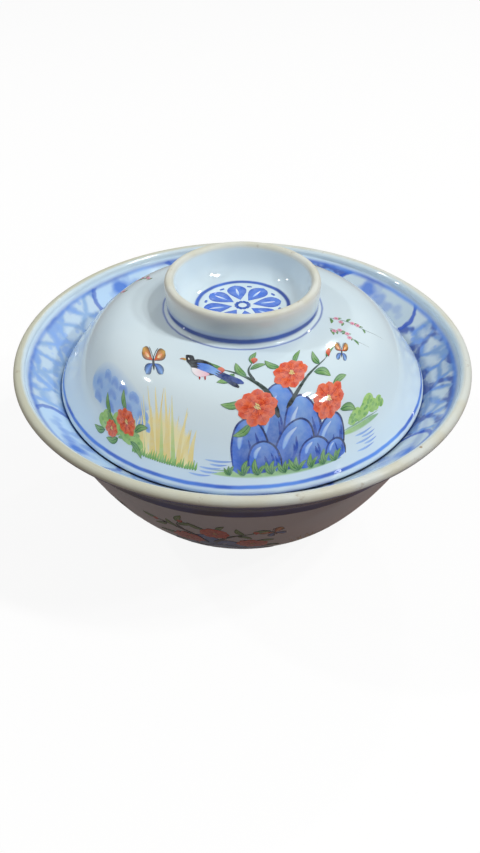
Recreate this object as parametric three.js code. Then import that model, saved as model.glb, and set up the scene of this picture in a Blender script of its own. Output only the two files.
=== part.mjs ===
// A porcelain bowl with a lid, as two fired pieces: a bowl with a flared rim on a turned foot ring, and a
// domed lid with a ring knob, whose edge rests on the sloping inside of the rim.
// Millimetres, +Z up. The origin is the centre of the foot ring's base.

import * as THREE from "three";

// Bowl: driving dimensions
const LIP_DIAMETER = 150;
const LIP_THICKNESS = 3.6;
const BOWL_HEIGHT = 65;
const RIM_WIDTH = 15; // from the lip's outer edge in to the bend, inside the bowl
const RIM_DEPTH = 12.6; // from the lip's top down to the bend
const BEND_THICKNESS = 5.8; // the wall at the bend, measured level
const OUTER_WALL_SLOPE = 69; // degrees from level, just under the bend
const INNER_WALL_SLOPE = 73;
const FLOOR_THICKNESS = 5;
const LIP_JOIN_ANGLE = 20; // degrees below level, where the rim's inside runs into the round lip
const BEND_ROUNDING = 2;

// Foot ring: driving dimensions
const FOOT_DIAMETER = 66; // where the ring meets the wall
const FOOT_HEIGHT = 7.4;
const FOOT_BASE_DIAMETER = 64;
const FOOT_WIDTH = 4.2; // across the base
const FOOT_RECESS_DEPTH = 6;
const FOOT_RECESS_DIAMETER = 55;
const FOOT_CHAMFER = 0.7;

// Lid: driving dimensions
const SEAT_RISE = 0.8; // how far up the slope from the bend the lid's edge rests
const SEAT_GAP = 0.3;
const LID_EDGE_THICKNESS = 3;
const LID_WALL = 3.2;
const LID_SIDE_SLOPE = 56; // degrees from level, where the dome runs into the round edge
const LID_SIDE_PULL = 23; // how far the dome's curve is drawn along that slope
const CROWN_HEIGHT = 26.8; // from the lid's underside to the foot of the knob
const CROWN_SLOPE = 4; // degrees from level, at the foot of the knob
const CROWN_PULL = 19;

// Ring knob: driving dimensions
const KNOB_DIAMETER = 49.8;
const KNOB_BASE_DIAMETER = 48.4;
const KNOB_HEIGHT = 10.6; // above the crown
const KNOB_THICKNESS = 3.1;
const KNOB_EDGE_ROUNDING = 1;
const KNOB_BASE_ROUNDING = 1.6;
const KNOB_FLOOR_DIAMETER = 38; // the floor inside the ring, before its corner is rounded
const KNOB_FLOOR_ROUNDING = 6;

// How finely the curves are divided
const TURN_STEPS = 64;
const WALL_STEPS = 9;
const DOME_STEPS = 10;
const CORNER_STEPS = 3;
const LIP_STEPS = 9;
const EDGE_STEPS = 6;
const SAME_POINT = 1e-6; // points of an outline nearer than this are one

// A point of an outline: its distance from the axis, and its height
const point = (radius, height) => new THREE.Vector2(radius, height);
const radians = THREE.MathUtils.degToRad;

/** The point at a distance from another, at an angle in radians from level. */
function reachedFrom(start, angle, distance) {
  return point(Math.cos(angle), Math.sin(angle)).multiplyScalar(distance).add(start);
}

/** The point at a distance from start, on the way to end. */
function towards(start, end, distance) {
  return end.clone().sub(start).setLength(distance).add(start);
}

/** A curve from start to end that follows the two sides of a corner. */
function cornerCurve(start, corner, end) {
  return new THREE.QuadraticBezierCurve(start, corner, end).getPoints(CORNER_STEPS);
}

/** A corner rounded off by a curve that begins and ends at a distance from it. */
function roundedCorner(before, corner, after, distance) {
  return cornerCurve(towards(corner, before, distance), corner, towards(corner, after, distance));
}

/** A wall that leaves the level at its foot and rises to its top at the slope of its last stretch. */
function wallCurve(foot, top, slope) {
  const run = (top.y - foot.y) / Math.tan(radians(slope));
  const belly = point(top.x - run, foot.y);
  return { foot, belly, end: towards(top, belly, BEND_ROUNDING) };
}

function wallPoints({ foot, belly, end }) {
  return new THREE.QuadraticBezierCurve(foot, belly, end).getPoints(WALL_STEPS);
}

/** The inside of a curved wall: points of its outer curve moved in by the wall's thickness. */
function insidePoints(curve, thickness, steps) {
  return Array.from({ length: steps + 1 }, (_, i) => {
    const along = curve.getTangent(i / steps);
    return point(-along.y, along.x).multiplyScalar(thickness).add(curve.getPoint(i / steps));
  });
}

/** Part of a circle, anticlockwise, between two angles in radians. */
function arcPoints(centre, radius, from, to, steps) {
  return new THREE.ArcCurve(centre.x, centre.y, radius, from, to, false).getPoints(steps);
}

/** Where a straight line from a point touches the outer side of a circle. */
function tangentPoint(from, centre, radius) {
  const reach = centre.clone().sub(from);
  const turn = Math.asin(radius / reach.length());
  const length = Math.sqrt(reach.lengthSq() - radius * radius);
  return reach.setLength(length).rotateAround(point(0, 0), -turn).add(from);
}

/** A closed body turned about Z from an outline that starts and ends on the axis. */
function turnedBody(name, outline, material) {
  const distinct = outline.filter((p, i) => i === 0 || p.distanceTo(outline[i - 1]) > SAME_POINT);
  const geometry = new THREE.LatheGeometry(distinct, TURN_STEPS).rotateX(Math.PI / 2);
  const mesh = new THREE.Mesh(geometry, material);
  mesh.name = name;
  return mesh;
}

// The rim, shared by the bowl's outline and the lid's seat
const lipRadius = LIP_THICKNESS / 2;
const lipCentre = point(LIP_DIAMETER / 2 - lipRadius, BOWL_HEIGHT - lipRadius);
const innerBend = point(LIP_DIAMETER / 2 - RIM_WIDTH, BOWL_HEIGHT - RIM_DEPTH);
const outerBend = point(innerBend.x + BEND_THICKNESS, innerBend.y);
const lipJoinTurn = Math.PI + radians(LIP_JOIN_ANGLE);
const lipJoin = reachedFrom(lipCentre, lipJoinTurn, lipRadius);

function bowlOutline() {
  const floorHeight = FOOT_RECESS_DEPTH + FLOOR_THICKNESS;
  const recessRadius = FOOT_RECESS_DIAMETER / 2;
  const baseRadius = FOOT_BASE_DIAMETER / 2;
  const baseInner = baseRadius - FOOT_WIDTH;
  const footTop = point(FOOT_DIAMETER / 2, FOOT_HEIGHT);
  const lipTouch = tangentPoint(outerBend, lipCentre, lipRadius);
  const lipTouchTurn = lipTouch.clone().sub(lipCentre).angle() - 2 * Math.PI;
  const outer = wallCurve(footTop, outerBend, OUTER_WALL_SLOPE);
  const inner = wallCurve(point(recessRadius, floorHeight), innerBend, INNER_WALL_SLOPE);
  return [
    point(0, FOOT_RECESS_DEPTH),
    point(recessRadius, FOOT_RECESS_DEPTH),
    point(baseInner, FOOT_CHAMFER),
    point(baseInner + FOOT_CHAMFER, 0),
    point(baseRadius - FOOT_CHAMFER, 0),
    point(baseRadius, FOOT_CHAMFER),
    ...wallPoints(outer),
    ...roundedCorner(outer.belly, outerBend, lipTouch, BEND_ROUNDING),
    ...arcPoints(lipCentre, lipRadius, lipTouchTurn, lipJoinTurn, LIP_STEPS),
    ...roundedCorner(lipJoin, innerBend, inner.belly, BEND_ROUNDING),
    ...wallPoints(inner).reverse(),
    point(0, floorHeight),
  ];
}

// The lid's round edge lies a seat gap clear of the rim's inside, and sets the lid's diameter and height
const edgeRadius = LID_EDGE_THICKNESS / 2;
const seatTouch = towards(innerBend, lipJoin, SEAT_RISE);
const seatNormal = lipJoin.clone().sub(innerBend).normalize().rotateAround(point(0, 0), Math.PI / 2);
const edgeCentre = seatNormal.multiplyScalar(edgeRadius + SEAT_GAP).add(seatTouch);
const lidBase = edgeCentre.y - edgeRadius;

// The dome rises from the round edge to the foot of the knob, drawn along a slope at each end
const edgeTop = radians(90 - LID_SIDE_SLOPE);
const edgeMiddle = point(edgeCentre.x, edgeRadius);
const domeFoot = reachedFrom(edgeMiddle, edgeTop, edgeRadius);
const knobFoot = point(KNOB_BASE_DIAMETER / 2, CROWN_HEIGHT);
const domeTop = reachedFrom(knobFoot, -radians(CROWN_SLOPE), KNOB_BASE_ROUNDING);
const domeCurve = new THREE.CubicBezierCurve(
  domeFoot,
  reachedFrom(domeFoot, radians(180 - LID_SIDE_SLOPE), LID_SIDE_PULL),
  reachedFrom(domeTop, -radians(CROWN_SLOPE), CROWN_PULL),
  domeTop,
);

/** The ring knob, from the top of the dome, over its flat rim, to the middle of the floor inside it. */
function knobOutline() {
  const rimHeight = CROWN_HEIGHT + KNOB_HEIGHT;
  const outerRim = point(KNOB_DIAMETER / 2, rimHeight);
  const innerRim = point(KNOB_DIAMETER / 2 - KNOB_THICKNESS, rimHeight);
  const floorCorner = point(KNOB_FLOOR_DIAMETER / 2, CROWN_HEIGHT);
  const floorCentre = point(0, CROWN_HEIGHT);
  return [
    ...cornerCurve(domeTop, knobFoot, towards(knobFoot, outerRim, KNOB_BASE_ROUNDING)),
    ...roundedCorner(knobFoot, outerRim, innerRim, KNOB_EDGE_ROUNDING),
    ...roundedCorner(outerRim, innerRim, floorCorner, KNOB_EDGE_ROUNDING),
    ...roundedCorner(innerRim, floorCorner, floorCentre, KNOB_FLOOR_ROUNDING),
    floorCentre,
  ];
}

/** The lid's outline, with its height measured from the underside of its edge. */
function lidOutline() {
  return [
    point(0, CROWN_HEIGHT - LID_WALL),
    ...insidePoints(domeCurve, LID_WALL, DOME_STEPS).reverse(),
    ...arcPoints(edgeMiddle, edgeRadius, -Math.PI / 2, edgeTop, EDGE_STEPS),
    ...domeCurve.getPoints(DOME_STEPS),
    ...knobOutline(),
  ];
}

const bowlGlaze = new THREE.MeshStandardMaterial({ color: 0xd5e0e4, roughness: 0.12, metalness: 0 });
const lidGlaze = new THREE.MeshStandardMaterial({ color: 0xd3e0e6, roughness: 0.12, metalness: 0 });

const bowl = turnedBody("bowl", bowlOutline(), bowlGlaze);
const lid = turnedBody("lid", lidOutline(), lidGlaze);
lid.position.z = lidBase;

const coveredBowl = new THREE.Group();
coveredBowl.add(bowl, lid);

export default coveredBowl;
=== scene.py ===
"""A porcelain bowl with a lid: glazed bodies turned from fine outlines, with brushwork painted on them."""

import bisect
from math import asin, atan2, ceil, cos, dist, hypot, pi, radians, sin, sqrt, tan
from random import Random

import bpy
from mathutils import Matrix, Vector


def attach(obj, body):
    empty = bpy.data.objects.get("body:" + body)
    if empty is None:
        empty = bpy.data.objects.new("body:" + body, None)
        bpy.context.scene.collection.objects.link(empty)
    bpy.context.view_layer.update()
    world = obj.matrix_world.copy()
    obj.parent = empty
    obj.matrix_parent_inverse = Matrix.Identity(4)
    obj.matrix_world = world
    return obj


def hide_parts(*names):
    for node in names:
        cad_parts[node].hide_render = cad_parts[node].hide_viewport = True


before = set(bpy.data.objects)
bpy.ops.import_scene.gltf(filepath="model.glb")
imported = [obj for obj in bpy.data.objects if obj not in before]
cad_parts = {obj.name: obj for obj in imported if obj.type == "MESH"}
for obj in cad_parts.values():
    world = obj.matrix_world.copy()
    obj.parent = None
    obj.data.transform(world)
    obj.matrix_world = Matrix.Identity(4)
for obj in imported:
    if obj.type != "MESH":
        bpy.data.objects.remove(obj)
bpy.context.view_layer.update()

MM = 0.001  # sizes are in millimetres until a mesh is made

# The part's own sizes: bowl
LIP_DIAMETER = 150
LIP_THICKNESS = 3.6
BOWL_HEIGHT = 65
RIM_WIDTH = 15  # from the lip's outer edge in to the bend
RIM_DEPTH = 12.6  # from the lip's top down to the bend
BEND_THICKNESS = 5.8
BEND_ROUNDING = 2
OUTER_WALL_SLOPE = radians(69)  # from level, just under the bend
INNER_WALL_SLOPE = radians(73)
FLOOR_THICKNESS = 5
LIP_JOIN_ANGLE = radians(20)

# Foot ring
FOOT_DIAMETER = 66  # where the ring meets the wall
FOOT_HEIGHT = 7.4
FOOT_BASE_DIAMETER = 64
FOOT_WIDTH = 4.2
FOOT_RECESS_DEPTH = 6
FOOT_RECESS_DIAMETER = 55
FOOT_CHAMFER = 0.7

# Lid
SEAT_RISE = 0.8
SEAT_GAP = 0.3
LID_EDGE_THICKNESS = 3
LID_WALL = 3.2
LID_SIDE_SLOPE = radians(56)
LID_SIDE_PULL = 23
CROWN_HEIGHT = 26.8
CROWN_SLOPE = radians(4)
CROWN_PULL = 19

# Ring knob
KNOB_DIAMETER = 49.8
KNOB_BASE_DIAMETER = 48.4
KNOB_HEIGHT = 10.6
KNOB_THICKNESS = 3.1
KNOB_BASE_ROUNDING = 1.6
KNOB_FLOOR_DIAMETER = 38
KNOB_FLOOR_ROUNDING = 6

# Roundings that only the scene has, or has softer
RECESS_ROUNDING = 1.4
FOOT_EDGE_ROUNDING = 0.3
FOOT_JOIN_BELOW = 0.9
FOOT_JOIN_ABOVE = 0.6
LIP_JOIN_ROUNDING = 0.7
LIP_JOIN_EASE = 0.5  # radians of the lip's arc that it takes
KNOB_SIDE_ROUNDING = 2.6  # down both sides of the rim
KNOB_OUTER_ROUNDING = 1.7  # in from the rim's outer edge
KNOB_INNER_ROUNDING = 1.2
RING_POINT = (32.4, 3.4)  # a mark on the foot ring's side, to measure its bare clay from

# How finely the bodies are divided
TURN_STEPS = 240
OUTLINE_STEP = 1.4
SAME_POINT = 1e-4
CORNER_STEPS = 8
KNOB_RIM_STEPS = 12
LIP_STEPS = 24
WALL_STEPS = 48
DOME_STEPS = 60
SLOPE_REACH = 0.4  # how far to each side the surface's direction is measured
FIND_STEP = 0.02


def srgb(*levels):
    """A colour given from 0 to 255, as the linear numbers that shaders take."""
    return tuple((c / 255 / 12.92) if c < 11 else ((c / 255 + 0.055) / 1.055) ** 2.4 for c in levels)


# Glaze and clay
GLAZE_COOL = srgb(203, 221, 231)
GLAZE_WARM = srgb(211, 227, 234)
THIN_GLAZE = srgb(230, 232, 226)
SPECK = srgb(112, 92, 74)
LIP_CLAY = (srgb(203, 209, 204), srgb(198, 198, 182))
KNOB_CLAY = (srgb(210, 214, 207), srgb(202, 202, 186))
LEFT_CLAY = srgb(187, 188, 168)
CLAY_STAIN = srgb(140, 116, 84)

# Colours of the brushwork
COBALT_DEEP = srgb(30, 64, 156)
COBALT = srgb(56, 108, 212)
COBALT_PALE = srgb(128, 174, 234)
LINE_DEEP = srgb(44, 86, 188)
LINE_PALE = srgb(88, 142, 228)
BAND_DARK = srgb(28, 38, 84)
BORDER_WASH = srgb(116, 154, 204)
BORDER_TINT = srgb(168, 206, 244)
BORDER_PALE = srgb(196, 213, 224)
# Painted shade: a grey-blue laid over the border's right side
BORDER_PAINTED_SHADE = srgb(150, 174, 192)
BLOT_DEEP = srgb(36, 72, 164)
FLOWER_BLUE = srgb(58, 112, 208)
INK = srgb(34, 34, 40)
RED_DEEP = srgb(168, 34, 20)
RED = srgb(216, 66, 28)
CORAL = srgb(232, 112, 66)
OCHRE = srgb(204, 164, 62)
STRAW = srgb(228, 204, 124)
YELLOW = srgb(240, 228, 168)
LEAF_DEEP = srgb(52, 104, 66)
LEAF = srgb(104, 160, 88)
LEAF_PALE = srgb(158, 200, 112)
PINK = srgb(206, 108, 148)
PINK_PALE = srgb(232, 178, 196)
WHITE = srgb(236, 240, 242)


# Points and curves. A point of an outline is its distance from the axis and its height.


def blended(a, b, share):
    return tuple(x + (y - x) * share for x, y in zip(a, b))


def toward(start, end, distance):
    """The point at a distance from start, on the way to end."""
    return blended(start, end, distance / dist(start, end))


def reached(start, angle, distance):
    """The point at a distance from start, at an angle from level."""
    return (start[0] + distance * cos(angle), start[1] + distance * sin(angle))


def angle_to(start, end):
    return atan2(end[1] - start[1], end[0] - start[0])


def bezier(knots, t):
    """A point of a Bezier curve, and the curve's direction there."""
    while len(knots) > 2:
        knots = [blended(a, b, t) for a, b in zip(knots, knots[1:])]
    start, end = knots
    run = dist(start, end)
    return blended(start, end, t), ((end[0] - start[0]) / run, (end[1] - start[1]) / run)


def corner_curve(start, corner, end, steps=CORNER_STEPS):
    return [bezier((start, corner, end), i / steps)[0] for i in range(steps + 1)]


def rounded(before, corner, after, distance, beyond=None, steps=CORNER_STEPS):
    """A corner rounded off from a distance before it to that or another distance beyond it."""
    start, end = toward(corner, before, distance), toward(corner, after, beyond or distance)
    return corner_curve(start, corner, end, steps)


def arc(centre, radius, start, end):
    return [reached(centre, start + (end - start) * i / LIP_STEPS, radius) for i in range(LIP_STEPS + 1)]


# The bowl's outline

LIP_RADIUS = LIP_THICKNESS / 2
LIP_CENTRE = (LIP_DIAMETER / 2 - LIP_RADIUS, BOWL_HEIGHT - LIP_RADIUS)
INNER_BEND = (LIP_DIAMETER / 2 - RIM_WIDTH, BOWL_HEIGHT - RIM_DEPTH)
OUTER_BEND = (INNER_BEND[0] + BEND_THICKNESS, INNER_BEND[1])
LIP_JOIN_TURN = pi + LIP_JOIN_ANGLE
LIP_JOIN = reached(LIP_CENTRE, LIP_JOIN_TURN, LIP_RADIUS)


def belly(foot, top, slope):
    """The middle knot of a wall that is level at its foot and has a slope at its top."""
    return (top[0] - (top[1] - foot[1]) / tan(slope), foot[1])


def wall(foot, middle, bend):
    """A wall's curve from its foot up to where the rounding of its bend begins."""
    return corner_curve(foot, middle, toward(bend, middle, BEND_ROUNDING), WALL_STEPS)


def bowl_sections():
    lip_lean = asin(LIP_RADIUS / dist(OUTER_BEND, LIP_CENTRE))
    lip_start = angle_to(OUTER_BEND, LIP_CENTRE) - lip_lean - pi / 2
    lip_touch = reached(LIP_CENTRE, lip_start, LIP_RADIUS)
    recess_centre = (0, FOOT_RECESS_DEPTH)
    recess_corner = (FOOT_RECESS_DIAMETER / 2, FOOT_RECESS_DEPTH)
    base = FOOT_BASE_DIAMETER / 2
    base_corner = (base, FOOT_CHAMFER)
    foot_top = (FOOT_DIAMETER / 2, FOOT_HEIGHT)
    ring = [
        recess_corner,
        (base - FOOT_WIDTH, FOOT_CHAMFER),
        (base - FOOT_WIDTH + FOOT_CHAMFER, 0),
        (base - FOOT_CHAMFER, 0),
        base_corner,
        foot_top,
    ]
    foot = [p for knots in zip(ring, ring[1:], ring[2:]) for p in rounded(*knots, FOOT_EDGE_ROUNDING)]
    outer_belly = belly(foot_top, OUTER_BEND, OUTER_WALL_SLOPE)
    foot_join = rounded(base_corner, foot_top, outer_belly, FOOT_JOIN_BELOW, FOOT_JOIN_ABOVE)
    inner_foot = (recess_corner[0], FOOT_RECESS_DEPTH + FLOOR_THICKNESS)
    inner_belly = belly(inner_foot, INNER_BEND, INNER_WALL_SLOPE)
    inside = rounded(LIP_JOIN, INNER_BEND, inner_belly, BEND_ROUNDING)
    return [
        ("recess", [recess_centre] + rounded(recess_centre, recess_corner, ring[1], RECESS_ROUNDING)),
        ("foot", foot),
        ("ring", [RING_POINT]),
        ("wall", foot_join + wall(foot_top, outer_belly, OUTER_BEND)[2:]),
        ("bend", rounded(outer_belly, OUTER_BEND, lip_touch, BEND_ROUNDING)),
        ("lip", arc(LIP_CENTRE, LIP_RADIUS, lip_start, LIP_JOIN_TURN - LIP_JOIN_EASE)),
        ("flare", rounded(LIP_CENTRE, LIP_JOIN, INNER_BEND, LIP_JOIN_ROUNDING)[CORNER_STEPS // 2 :]),
        ("inside", inside + wall(inner_foot, inner_belly, INNER_BEND)[::-1]),
        ("floor", [(0, inner_foot[1])]),
    ]


# The lid's outline, from where its round edge rests on the slope of the bowl's rim

EDGE_RADIUS = LID_EDGE_THICKNESS / 2
SEAT_TURN = angle_to(INNER_BEND, LIP_JOIN) + pi / 2
EDGE_CENTRE = reached(toward(INNER_BEND, LIP_JOIN, SEAT_RISE), SEAT_TURN, EDGE_RADIUS + SEAT_GAP)
EDGE_TOP = pi / 2 - LID_SIDE_SLOPE
CROWN = EDGE_CENTRE[1] - EDGE_RADIUS + CROWN_HEIGHT
KNOB_FOOT = (KNOB_BASE_DIAMETER / 2, CROWN)
DOME_FOOT = reached(EDGE_CENTRE, EDGE_TOP, EDGE_RADIUS)
DOME_TOP = reached(KNOB_FOOT, -CROWN_SLOPE, KNOB_BASE_ROUNDING)
DOME_KNOTS = (
    DOME_FOOT,
    reached(DOME_FOOT, pi - LID_SIDE_SLOPE, LID_SIDE_PULL),
    reached(DOME_TOP, -CROWN_SLOPE, CROWN_PULL),
    DOME_TOP,
)


def dome(depth=0.0):
    """The dome from its edge up to the knob, or the same curve at a depth inside the clay."""
    curve = [bezier(DOME_KNOTS, i / DOME_STEPS) for i in range(DOME_STEPS + 1)]
    return [(spot[0] - along[1] * depth, spot[1] + along[0] * depth) for spot, along in curve]


def lid_sections():
    rim = CROWN + KNOB_HEIGHT
    outer_rim = (KNOB_DIAMETER / 2, rim)
    inner_rim = (KNOB_DIAMETER / 2 - KNOB_THICKNESS, rim)
    floor_corner, floor_centre = (KNOB_FLOOR_DIAMETER / 2, CROWN), (0, CROWN)
    outer_edge = (KNOB_FOOT, outer_rim, inner_rim, KNOB_SIDE_ROUNDING, KNOB_OUTER_ROUNDING)
    inner_edge = (outer_rim, inner_rim, floor_corner, KNOB_INNER_ROUNDING, KNOB_SIDE_ROUNDING)
    return [
        ("hollow", [(0, CROWN - LID_WALL)] + dome(LID_WALL)[::-1]),
        ("edge", arc(EDGE_CENTRE, EDGE_RADIUS, -pi / 2, EDGE_TOP)),
        ("dome", dome()),
        ("knob", corner_curve(DOME_TOP, KNOB_FOOT, toward(KNOB_FOOT, outer_rim, KNOB_BASE_ROUNDING))),
        ("rim", rounded(*outer_edge, KNOB_RIM_STEPS) + rounded(*inner_edge, KNOB_RIM_STEPS)),
        ("recess", rounded(inner_rim, floor_corner, floor_centre, KNOB_FLOOR_ROUNDING)),
        ("floor", [floor_centre]),
    ]


def place_object(name, data):
    piece = bpy.data.objects.new(name, data)
    bpy.context.scene.collection.objects.link(piece)
    return piece


class Turned:
    """A surface turned about Z, with the distance along its outline in millimetres."""

    def __init__(self, sections):
        self.points = [sections[0][1][0]]
        self.along = [0.0]
        self.start = {}
        for name, points in sections:
            self.extend(points[0])
            self.start[name] = self.along[-1]
            for end in points[1:]:
                self.extend(end)

    def extend(self, end):
        """Adds a straight run to a point, divided into short steps."""
        start, base = self.points[-1], self.along[-1]
        run = dist(start, end)
        if run < SAME_POINT:
            return
        steps = ceil(run / OUTLINE_STEP)
        for i in range(1, steps + 1):
            self.points.append(blended(start, end, i / steps))
            self.along.append(base + run * i / steps)

    def at(self, s):
        """Distance from the axis and height at a distance along the outline."""
        s = min(max(s, 0.0), self.along[-1])
        high = min(bisect.bisect_right(self.along, s), len(self.along) - 1)
        low = high - 1
        share = (s - self.along[low]) / (self.along[high] - self.along[low])
        return blended(self.points[low], self.points[high], share)

    def outward(self, s):
        """The direction away from the clay, across and up."""
        before, after = self.at(s - SLOPE_REACH), self.at(s + SLOPE_REACH)
        run = dist(before, after)
        return ((after[1] - before[1]) / run, (before[0] - after[0]) / run)

    def place(self, turn, s, lift):
        """A point lifted off the surface and the surface's direction there, in metres."""
        across, up = self.outward(s)
        radius, height = (a + b * lift for a, b in zip(self.at(s), (across, up)))
        c, d = cos(turn), sin(turn)
        return (radius * c * MM, radius * d * MM, height * MM), (across * c, across * d, up)

    def find(self, section, test):
        """The first distance along, from a section on, where test(radius, height) holds."""
        s = self.start[section]
        while not test(*self.at(s)):
            s += FIND_STEP
        return s

    def mesh(self, name):
        """The closed body as an object, with the distance along the outline kept on its points."""
        verts, along, rows = [], [], []
        for (radius, height), s in zip(self.points, self.along):
            steps = TURN_STEPS if radius else 1
            rows.append([len(verts) + i % steps for i in range(TURN_STEPS + 1)])
            turns = (2 * pi * i / TURN_STEPS for i in range(steps))
            verts += [(radius * cos(a) * MM, radius * sin(a) * MM, height * MM) for a in turns]
            along += [s] * steps
        faces, maps = [], []
        for i in range(TURN_STEPS):
            for k in range(1, len(rows)):
                corners = {}
                for row, j in ((k - 1, i), (k - 1, i + 1), (k, i + 1), (k, i)):
                    turn = j if self.points[row][0] else i + 0.5
                    corners[rows[row][j]] = (turn / TURN_STEPS, self.along[row] / self.along[-1])
                faces.append(tuple(corners))
                maps += corners.values()
        mesh = bpy.data.meshes.new(name)
        mesh.from_pydata(verts, [], faces)
        mesh.attributes.new("along", "FLOAT", "POINT").data.foreach_set("value", along)
        layer = mesh.uv_layers.new(name="OFBake")
        layer.uv.foreach_set("vector", [c for pair in maps for c in pair])
        mesh.shade_smooth()
        return place_object(name, mesh)


bowl = Turned(bowl_sections())
lid = Turned(lid_sections())


# Brushwork: thin films of colour on the glaze, one closed ribbon for each stroke

FILM_LIFT = 0.02  # millimetres above the glaze, and a little more for each later layer
FILM_LAYER = 0.006
FILM_DEPTH = 0.12  # how far a ribbon's underside lies in the glaze
STROKE_STEP = 0.6
FEWEST_STEPS = 5
COLUMN_STEP = 1.2  # across a stroke, so that wide ones follow the glaze
CURVE_STEPS = 10
CRISP_CORE = 0.85  # the share of a crisp stroke's breadth between its two edges
THINNEST = 0.04
ABOVE_ROCK = 17  # the first layer above its stones


# How a stroke's breadth changes from its start to its end


def even(t):
    return min(1.0, 5 * t + 0.3, 5 * (1 - t) + 0.3)


def pointed(t):
    return sin(pi * t**0.85) ** 0.8


def petal(t):
    return sin(pi * t**1.6) ** 0.6


def fading(t):
    return (1 - t) ** 0.75 * min(1.0, 9 * t + 0.35)


def cloud(t):
    return sin(pi * t) ** 0.5


def stone(t):
    return min(1.0, 0.7 + 4 * t) * (1 - t**3) ** 0.5


def mirrored(point, centre):
    return tuple(2 * c - p for p, c in zip(point, centre))


def spline(p, q, r, s, t):
    """One coordinate of a smooth curve through four knots, between the middle two."""
    return 0.5 * (2 * q + (r - p) * t + (2 * p - 5 * q + 4 * r - s) * t**2 + (3 * q - p - 3 * r + s) * t**3)


def smooth(points):
    """Points at even steps on a smooth curve through the given ones."""
    knots = [mirrored(points[1], points[0]), *points, mirrored(points[-2], points[-1])]
    dense = []
    for span in zip(knots, knots[1:], knots[2:], knots[3:]):
        for i in range(CURVE_STEPS):
            dense.append(tuple(spline(*four, i / CURVE_STEPS) for four in zip(*span)))
    dense.append(points[-1])
    reach = [0.0]
    for a, b in zip(dense, dense[1:]):
        reach.append(reach[-1] + dist(a, b))
    count = max(FEWEST_STEPS, ceil(reach[-1] / STROKE_STEP))
    path, k = [], 0
    for i in range(count + 1):
        goal = reach[-1] * i / count
        while k < len(reach) - 2 and reach[k + 1] < goal:
            k += 1
        path.append(blended(dense[k], dense[k + 1], (goal - reach[k]) / (reach[k + 1] - reach[k])))
    return path


def columns(half, inner):
    """Places across a stroke from -1 to 1, a short step apart, with one where its inner part ends."""
    core = ceil(half * inner / COLUMN_STEP)
    edge = ceil(half * (1 - inner) / COLUMN_STEP)
    right = [inner * k / core for k in range(1, core + 1)]
    right += [inner + (1 - inner) * k / edge for k in range(1, edge + 1)]
    return [-a for a in reversed(right)] + [0.0] + right


class Painting:
    """Ribbons of paint on one turned surface, gathered into one mesh."""

    def __init__(self, surface):
        self.surface = surface
        self.verts, self.faces, self.normals, self.paint = [], [], [], []

    def around(self, turn, base):
        """A chart with x round the surface and y up it, from a point at a turn in degrees."""
        at = self.surface.at
        return Chart(self, lambda x, y: (radians(turn) + x / at(base + y)[0], base + y))

    def add(self, place, lift, paint):
        """One point of a ribbon, on its top above the glaze or on its underside."""
        spot, out = self.surface.place(*place, lift)
        self.verts.append(spot)
        self.normals.append(out if lift > 0 else tuple(-c for c in out))
        self.paint += paint
        return len(self.verts) - 1

    def mesh(self, name):
        mesh = bpy.data.meshes.new(name)
        mesh.from_pydata(self.verts, [], self.faces)
        mesh.color_attributes.new("paint", "FLOAT_COLOR", "POINT").data.foreach_set("color", self.paint)
        mesh.shade_smooth()
        mesh.normals_split_custom_set_from_vertices(self.normals)
        return place_object(name, mesh)


class Chart:
    """Flat places in millimetres, each with its turn and distance along a painting's outline."""

    def __init__(self, art, place):
        self.art = art
        self.place = place

    def moved(self, x, y, size=1.0, lean=0.0):
        """The chart with its origin moved, scaled and turned."""
        c, s = cos(lean) * size, sin(lean) * size
        return Chart(self.art, lambda u, v: self.place(x + u * c - v * s, y + u * s + v * c))

    def stroke(
        self, points, width, colour, tip=None, shape=even,
        cover=1.0, soft=0.0, layer=1, rim=None, ground=None,
    ):
        """One stroke of the brush. Its colour runs to tip along it and to rim at its sides.

        Soft is the share of its breadth that fades into ground, a colour and its cover, or into bare glaze.
        """
        path = smooth(points)
        last = len(path) - 1
        inner = 1 - soft if soft else CRISP_CORE
        spread = columns(width / 2, inner)
        lift = FILM_LIFT + FILM_LAYER * layer
        rows = []
        for i, (u, v) in enumerate(path):
            before, after = path[max(i - 1, 0)], path[min(i + 1, last)]
            half = max(THINNEST, width * shape(i / last) / 2) / dist(before, after)
            du, dv = (before[1] - after[1]) * half, (after[0] - before[0]) * half
            body = blended(colour, tip or colour, i / last)
            row = []
            for a in spread:
                shade = (*(blended(body, rim, a * a) if rim else body), cover)
                if soft:
                    share = 1.0 if i in (0, last) else max(0.0, (abs(a) - inner) / soft)
                    shade = blended(shade, ground or (*body, 0.0), share)
                row.append(self.art.add(self.place(u + du * a, v + dv * a), lift, shade))
            for a in (1, -1):
                row.append(self.art.add(self.place(u + du * a, v + dv * a), -FILM_DEPTH, (*body, cover)))
            rows.append(row)
        for a, b in zip(rows, rows[1:]):
            for i in range(len(a)):
                j = (i + 1) % len(a)
                self.art.faces.append((a[i], b[i], b[j], a[j]))
        self.art.faces.append(tuple(rows[0]))
        self.art.faces.append(tuple(reversed(rows[-1])))


# Motifs, in millimetres on a chart. Each takes its random draws from its own seed.


def leaf(chart, x, y, length, lean, colour=LEAF, tip=LEAF_PALE, layer=3, width=0.36):
    """One leaf with a darker rib, from its stalk outwards at an angle in degrees."""
    own = chart.moved(x, y, lean=radians(lean))
    spine = [(0, 0), (length / 2, 0.12 * length), (length, 0)]
    own.stroke(spine, length * width, colour, tip, pointed, layer=layer, rim=LEAF_DEEP)
    own.stroke(spine, 0.3, LEAF_DEEP, shape=fading, layer=layer + 1)


# A blossom's rings of petals: how many, and their reach and breadth as shares of its radius
PETAL_RINGS = ((9, 1.0, 0.62), (7, 0.72, 0.55), (5, 0.45, 0.42))


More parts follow.
